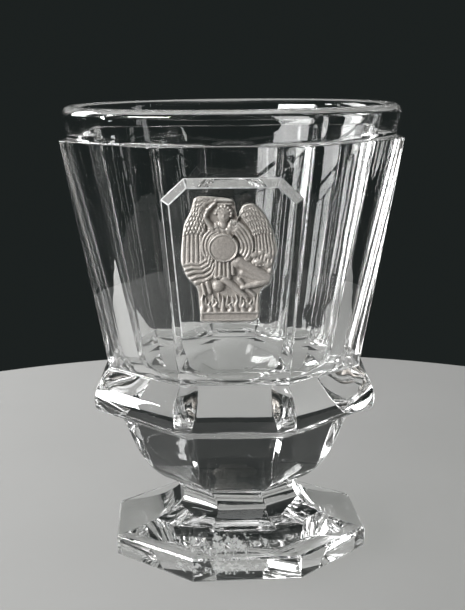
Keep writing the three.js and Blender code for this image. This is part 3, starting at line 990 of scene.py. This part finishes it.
BODY_LIMBS = [
    ([(-4.4, 8.9), (-6.0, 11.4), (-5.2, 13.6)], (0.8, 0.65), 0.95),
    ([(-5.3, 13.4), (-3.4, 15.2)], (0.65, 0.55), 1.0),
    ([(-8.4, 16.4), (-3.6, 16.5)], (0.45, 0.4), 0.95),
    ([(-8.8, 15.4), (-6.6, 15.3)], (0.5, 0.45), 0.85),
    ([(-3.0, 15.9), (1.0, 15.8)], (0.55, 0.5), 0.95),
    ([(-2.6, 14.9), (0.8, 14.9)], (0.4, 0.35), 0.7),
    ([(-3.2, 0.6), (-3.5, -4.6)], (0.55, 0.7), 0.78),
    ([(-2.2, 0.2), (-2.4, -4.4)], (0.5, 0.65), 0.92),
    ([(-1.3, 0.0), (-1.2, -5.0)], (0.5, 0.65), 0.8),
    ([(-0.3, 0.2), (-0.1, -4.6)], (0.5, 0.65), 0.9),
    ([(0.7, 0.4), (1.0, -3.6)], (0.5, 0.6), 0.78),
    ([(2.4, -0.4), (6.0, -2.4), (10.2, -5.0)], (1.55, 1.25), 1.12),
    ([(3.4, -3.4), (6.6, -4.7), (9.4, -5.9)], (0.9, 0.8), 0.8),
    ([(9.8, -5.4), (6.4, -6.7), (3.4, -7.3)], (1.05, 0.8), 0.9),
    ([(-1.2, -5.0), (1.4, -7.2), (4.2, -9.9)], (1.1, 0.7), 0.98),
    ([(2.6, -5.2), (4.6, -7.9), (6.4, -9.4)], (0.6, 0.5), 0.72),
    ([(-3.4, -4.5), (-1.9, -4.1), (-0.6, -4.7)], (0.4, 0.4), 0.95),
    ([(-5.6, -6.0), (-4.9, -8.6)], (0.75, 0.55), 0.8),
    ([(-6.9, -6.4), (-6.3, -9.2)], (0.5, 0.4), 0.7),
]


def around(x, y, middle):
    """Distance from a middle, and direction from it in degrees."""
    dx, dy = x - middle[0], y - middle[1]
    return np.hypot(dx, dy), np.degrees(np.arctan2(dy, dx))


def cloak(x, y):
    """Folds that swing round the shield, ends that fly out, and cloth that billows behind the thigh."""
    radius, angle = around(x, y, (-0.4, 4.2))
    place = (radius - 4.7 + 0.28 * np.sin(np.radians(3.2 * angle))) / 0.92
    folds = 0.66 + 0.28 * np.abs(np.cos(math.pi * place)) ** 0.7 + 0.05 * np.sin(np.radians(9 * angle))
    right = np.where((radius > 3.2) & (radius < 6.9) & (angle > -38) & (angle < 84), folds, 0)
    right *= np.clip((6.9 - radius) / 0.4, 0, 1) ** 0.5
    radius, angle = around(x, y, (-1.4, 3.9))
    angle %= 360
    folds = 0.6 + 0.26 * np.abs(np.cos(math.pi * (radius - 4.5) / 0.8)) ** 0.7
    left = np.where((radius > 3.5) & (radius < 5.7) & (angle > 104) & (angle < 236), folds, 0)
    ends = [limb(x, y, *end) for end in CLOAK_ENDS]
    billows = [oval(x, y, *billow) for billow in CLOAK_BILLOWS]
    return np.maximum.reduce([right, left, *ends, *billows])


def body_forms(x, y):
    """Arms, chest, tunic and legs."""
    forms = [oval(x, y, *form) for form in BODY_OVALS]
    forms += [limb(x, y, *form) for form in BODY_LIMBS]
    creases = 0.09 * np.sin(2 * math.pi * (x * 0.8 + 0.3 * y)) * np.clip((y - 6.4) / 1.5, 0, 1)
    body = np.maximum.reduce(forms)
    return body + np.where((np.abs(x + 1.1) < 3) & (y < 10.2), creases, 0)


def flames(x, y):
    """Two rows of pointed tongues along the plinth."""
    forms = []
    for count in range(9):
        foot_x = -7.0 + 1.78 * count
        height = 3.6 + 1.1 * math.cos(2.4 * count)
        sway = 0.55 * math.sin(1.9 * count + 0.5)
        tongue = [
            (foot_x, -14.0),
            (foot_x + sway, -14.0 + 0.4 * height),
            (foot_x - 0.5 * sway, -14.0 + 0.72 * height),
            (foot_x + 0.6 * sway, -14.0 + height),
        ]
        forms.append(limb(x, y, tongue, (0.95, 0.12), 0.9))
    for count in range(8):
        foot_x = -6.1 + 1.78 * count
        tip = (foot_x + 0.3 * math.sin(2.7 * count), -9.6 - 0.5 * math.cos(1.7 * count))
        forms.append(limb(x, y, [(foot_x, -12.4), tip], (0.8, 0.15), 0.66))
    return np.maximum.reduce(forms)


def plinth(x, y):
    """A plain block with a moulding along its top and a bare sunk field."""
    across = np.abs(x - 0.1)
    block = np.where((y < -14.0) & (y > -17) & (across < 7.9), 0.78, 0)
    field = np.clip((7.0 - across) / 0.25, 0, 1) * np.clip((0.8 - np.abs(y + 15.3)) / 0.2, 0, 1)
    moulding = limb(x, y, [(-7.6, -14.15), (7.7, -14.15)], (0.4, 0.4), 1.02)
    return np.maximum(block - 0.16 * field, moulding)


def shield(x, y):
    """Round and a little domed, with a raised rim and a bare field."""
    radius = np.hypot(x + 1.4, y - 3.4)
    dome = 0.82 + 0.36 * np.sqrt(np.clip(1 - (radius / 4.6) ** 2, 0, 1))
    rim = 0.17 * np.exp(-(((radius - 3.6) / 0.2) ** 2)) - 0.08 * np.exp(-(((radius - 3.1) / 0.14) ** 2))
    edge = np.sqrt(np.clip((3.92 - radius) / 0.22, 0, 1))
    return np.where(radius < 3.92, (dome + rim) * edge, 0)


# Eye hollows, eyes, brows and cheeks: middle, half sizes and rise
FACE_PAIRS = [
    ((0.37, 0.02), (0.22, 0.13), -0.13),
    ((0.37, 0.01), (0.13, 0.07), 0.09),
    ((0.36, 0.22), (0.26, 0.07), 0.05),
    ((0.45, -0.35), (0.25, 0.22), 0.04),
]
# Rings of curls round the head: reach, first angle, step and count
CURL_RINGS = ((1.95, -0.35, 0.43, 9), (1.35, 0.5, 0.53, 5), (0.6, 0.9, 1.35, 2))


def head(x, y):
    """A calm, plain head: eyes at half its height, the nose midway to the chin."""
    u, v = (x + 1.2) / 1.62, (y - 12.15) / 2.05
    face = 0.62 + 0.62 * np.sqrt(np.clip(1 - u * u - v * v, 0, 1))
    face += hill(u, v, (0, -0.2), (0.13, 0.22), 0.15) + hill(u, v, (0, 0.12), (0.1, 0.3), 0.06)
    for side in (-1, 1):
        for (across, up), half_sizes, rise in FACE_PAIRS:
            face += hill(u, v, (across * side, up), half_sizes, rise)
    face += hill(u, v, (0, -0.52), (0.26, 0.06), 0.07) + hill(u, v, (0, -0.6), (0.24, 0.03), -0.05)
    face += hill(u, v, (0, -0.67), (0.2, 0.05), 0.05) + hill(u, v, (0, -0.88), (0.22, 0.12), 0.05)
    face = np.where(u * u + v * v < 1, face, 0)
    neck = limb(x, y, [(-1.2, 10.6), (-1.2, 9.4)], (0.95, 1.2), 0.85)
    forms = [face, neck]
    for reach, start, step, count in CURL_RINGS:
        for turn in (start + step * curl for curl in range(count)):
            middle = (-1.2 + reach * math.cos(turn), 12.4 + 0.98 * reach * math.sin(turn))
            forms.append(oval(x, y, middle, (0.52, 0.5), 1.18))
    return np.maximum.reduce(forms)


def relief(x, y):
    """The carving's height over its plate."""
    ground = 0.1 + 0.05 * np.sin(1.3 * x + 0.7 * y) * np.sin(0.9 * y - 0.4 * x)
    forms = [ground, wings(x, y), flames(x, y), plinth(x, y), cloak(x, y), body_forms(x, y)]
    carved = np.maximum.reduce(forms)
    shield_height, head_height = shield(x, y), head(x, y)
    carved = np.where(head_height > 0.3, np.maximum(head_height, carved * 0.7), carved)
    return np.where(shield_height > 0.2, np.maximum(shield_height, 0.6), carved)


def blurred(grid, times):
    """The rings of the relief, each point evened out with those beside it."""
    for _ in range(times):
        beside = (np.roll(grid, 1, axis=1) + np.roll(grid, -1, axis=1)) / 2
        inner = np.vstack([grid[:1], grid[:-1]])
        outer = np.vstack([grid[1:], grid[-1:]])
        grid = (2 * grid + beside + (inner + outer) / 2) / 4
    return grid


def shading_fields(height, parts, angles):
    """How much painted shade and painted highlight the relief gets at each point: shade in its hollows,
    highlight on its ridges and at its rim.
    """
    near, wide = blurred(height, 6), blurred(height, 30)
    # Painted shade where a point lies below its neighbours.
    hollow = np.clip((near - height) / 0.07, 0, 1) * 0.6 + np.clip((wide - height) / 0.25, 0, 1) * 0.4
    # Painted highlight where a point stands above its neighbours.
    painted_highlight = np.clip((height - near) / 0.06, 0, 1)
    # Painted reflection: a silvery sheen on the outer rim, strongest at its left and right sides.
    rim = np.clip((parts - 0.968) / 0.012, 0, 1) * np.abs(np.cos(angles)) ** 1.5
    return {"hollow": hollow, "painted_highlight": np.maximum(painted_highlight, 1.4 * rim)}


def cameo_faces(count):
    """Faces between the rings of points, closed by a front and a back point at the list's end."""
    faces = []
    for ring in range(RINGS + 1):
        for step in range(COLUMNS):
            a, b = ring * COLUMNS + step, ring * COLUMNS + (step + 1) % COLUMNS
            faces.append((a, a + COLUMNS, b + COLUMNS, b))
    last = (RINGS + 1) * COLUMNS
    for step in range(COLUMNS):
        after = (step + 1) % COLUMNS
        faces.append((count - 2, step, after))
        faces.append((count - 1, last + after, last + step))
    return faces


def make_cameo(paste):
    angles = np.linspace(-math.pi, math.pi, COLUMNS, endpoint=False)
    reach = outline_radius(angles)
    parts = np.linspace(0, 1, RINGS + 1)[1:, None] ** 0.8
    x = CAMEO_MIDDLE[0] + parts * reach * np.cos(angles)
    y = CAMEO_MIDDLE[1] + parts * reach * np.sin(angles)
    height = blurred(relief(x, y), 1)
    fields = shading_fields(height, parts, angles)
    height *= np.clip((1 - parts) * reach / 0.35, 0, 1) ** 0.5 * 0.45 + 0.55
    top = relief(CAMEO_MIDDLE[:1], CAMEO_MIDDLE[1:])[0]
    rings = [np.dstack([x, y, CAMEO_PLATE + height]).reshape(-1, 3)]
    for share in (0.6, 0.0):
        rings.append(np.column_stack([x[-1], y[-1], (CAMEO_PLATE + height[-1]) * share]))
    points = np.vstack([*rings, [[*CAMEO_MIDDLE, CAMEO_PLATE + top], [*CAMEO_MIDDLE, 0]]])
    points = points + [CAMEO_RIGHT, CAMEO_UP, -CAMEO_SUNK]
    cameo = make_piece("cameo_relief", on_panel(points), cameo_faces(len(points)), paste)
    for name, field in fields.items():
        values = np.zeros(len(points), np.float32)
        values[: field.size] = field.ravel()
        attribute = cameo.data.attributes.new(name, "FLOAT", "POINT")
        attribute.data.foreach_set("value", values)
    return cameo


def pocket_outline():
    """The hollow round the cameo, in the front panel's frame."""
    angles = np.linspace(-math.pi, math.pi, 120, endpoint=False)
    reach = outline_radius(angles) + POCKET_GAP
    x = CAMEO_MIDDLE[0] + CAMEO_RIGHT + reach * np.cos(angles)
    y = CAMEO_MIDDLE[1] + CAMEO_UP + reach * np.sin(angles)
    return list(zip(x, y))


# Stage, lamps and camera, in metres and degrees

FLOOR_GAP = 0.03 * MM
FLOOR_RADIUS = 0.22
FLOOR_THICKNESS = 0.02
CAMERA_PLACE = (0, -0.336585, 0.139126)
CAMERA_LENS = 69.255
CAMERA_TURNS = (("Z", 0.05), ("X", 90 - 11.641), ("Z", -0.592))


def make_stage():
    """A plain pale floor, a hair below the foot."""
    material, tree = new_material("pale_floor")
    place = millimetres(tree)
    tone = noise(tree, place, 60.0, detail=3.0)
    colour = tree.blend(tone, (0.44, 0.44, 0.43, 1), (0.48, 0.48, 0.47, 1))
    floor_surface = tree.add("ShaderNodeBsdfPrincipled", {"Base Color": colour, "Roughness": 0.95})
    tree.add("ShaderNodeOutputMaterial", {"Surface": floor_surface})
    body = bmesh.new()
    below = Matrix.Translation((0, 0, -FLOOR_GAP))
    bmesh.ops.create_circle(body, cap_ends=True, segments=160, radius=FLOOR_RADIUS, matrix=below)
    body.faces.ensure_lookup_table()
    made = bmesh.ops.extrude_face_region(body, geom=body.faces[:])
    lower = [item for item in made["geom"] if isinstance(item, bmesh.types.BMVert)]
    bmesh.ops.translate(body, verts=lower, vec=(0, 0, -FLOOR_THICKNESS))
    bmesh.ops.recalc_face_normals(body, faces=body.faces[:])
    floor = keep_body("floor", body, [material])


def make_world():
    world = bpy.data.worlds.new("studio")
    bpy.context.scene.world = world
    world.use_nodes = True
    tree = Tree(world.node_tree)
    air = tree.add("ShaderNodeBackground", {"Color": (0.012, 0.015, 0.0145, 1), "Strength": 1.0})
    tree.add("ShaderNodeOutputWorld", {"Surface": air})


def softbox(name, place, size, radiance, target=(0, 0, 0.07)):
    """A rectangular soft lamp, set by how bright its face is."""
    lamp = bpy.data.lights.new(name, "AREA")
    lamp.shape = "RECTANGLE"
    lamp.size, lamp.size_y = size
    lamp.energy = radiance * size[0] * size[1] * math.pi
    holder = put_in_scene(name, lamp)
    holder.location = place
    aim = Vector(target) - Vector(place)
    holder.rotation_euler = aim.to_track_quat("-Z", "Y").to_euler()


def make_lamps():
    softbox("left_low_strip", (-0.85, 0.03, 0.1), (0.05, 0.3), 42.0)
    softbox("left_high_strip", (-0.85, -0.02, 0.44), (0.08, 0.2), 30.0)
    softbox("left_softbox", (-0.75, 0.45, 0.35), (0.35, 0.6), 11.0)
    softbox("right_strip", (0.8, -0.12, 0.3), (0.08, 0.5), 3.0)
    softbox("top_softbox", (0.1, -0.1, 1.1), (0.5, 0.5), 2.2)
    softbox("front_softbox", (-0.95, -0.66, 0.4), (0.65, 0.3), 27.0)


def make_camera():
    """The photograph's viewing angle, fitted to the rim, the ledge, the belt and the foot."""
    camera = bpy.data.cameras.new("camera")
    camera.lens = CAMERA_LENS
    camera.clip_start, camera.clip_end = 0.01, 20
    holder = put_in_scene("camera", camera)
    look = Matrix.Translation(CAMERA_PLACE)
    for axis, degrees in CAMERA_TURNS:
        look = look @ Matrix.Rotation(math.radians(degrees), 4, axis)
    holder.matrix_world = look
    bpy.context.scene.camera = holder


def make_beaker():
    glass, worn_foot, joint, paste = cut_glass(), foot_glass(), fused_joint(), cameo_paste()
    ring = ring_of_sides(glass)
    pocket = pocket_outline()
    foot = make_foot(ring, glass, joint)
    foot.data.materials[0] = worn_foot
    # The bevel's pale finish is partly wear and partly a painted highlight.
    edges, bevel = wear_and_highlight_glass("worn_edge", 0.4, 0.8), wear_and_highlight_glass("worn_bevel_and_highlight", 0.03, 0.34)
    cover_materials = (glass, joint, edges, bevel)
    pieces = [
        (foot, "foot", "clear_glass"),
        (make_neck(ring, glass, joint), "neck_wafer", "clear_glass"),
        (make_bowl(ring, glass, joint, pocket), "bowl", "clear_glass"),
        (make_tablet(cover_materials, pocket), "cover_tablet", "clear_glass"),
        (make_cameo(paste), "cameo", "cameo_paste"),
    ]
    for piece, node, slot in pieces:
        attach(piece, "root")
        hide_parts(node)


def light_paths():
    """Enough passes through glass for the thick foot and belt to show clear."""
    settings = bpy.context.scene.cycles
    settings.max_bounces = settings.transmission_bounces = settings.transparent_max_bounces = 32
    settings.glossy_bounces = 16
    settings.caustics_reflective = settings.caustics_refractive = False


make_camera()
make_beaker()
make_stage()
make_world()
make_lamps()
light_paths()
bpy.context.scene.view_settings.view_transform = "Standard"
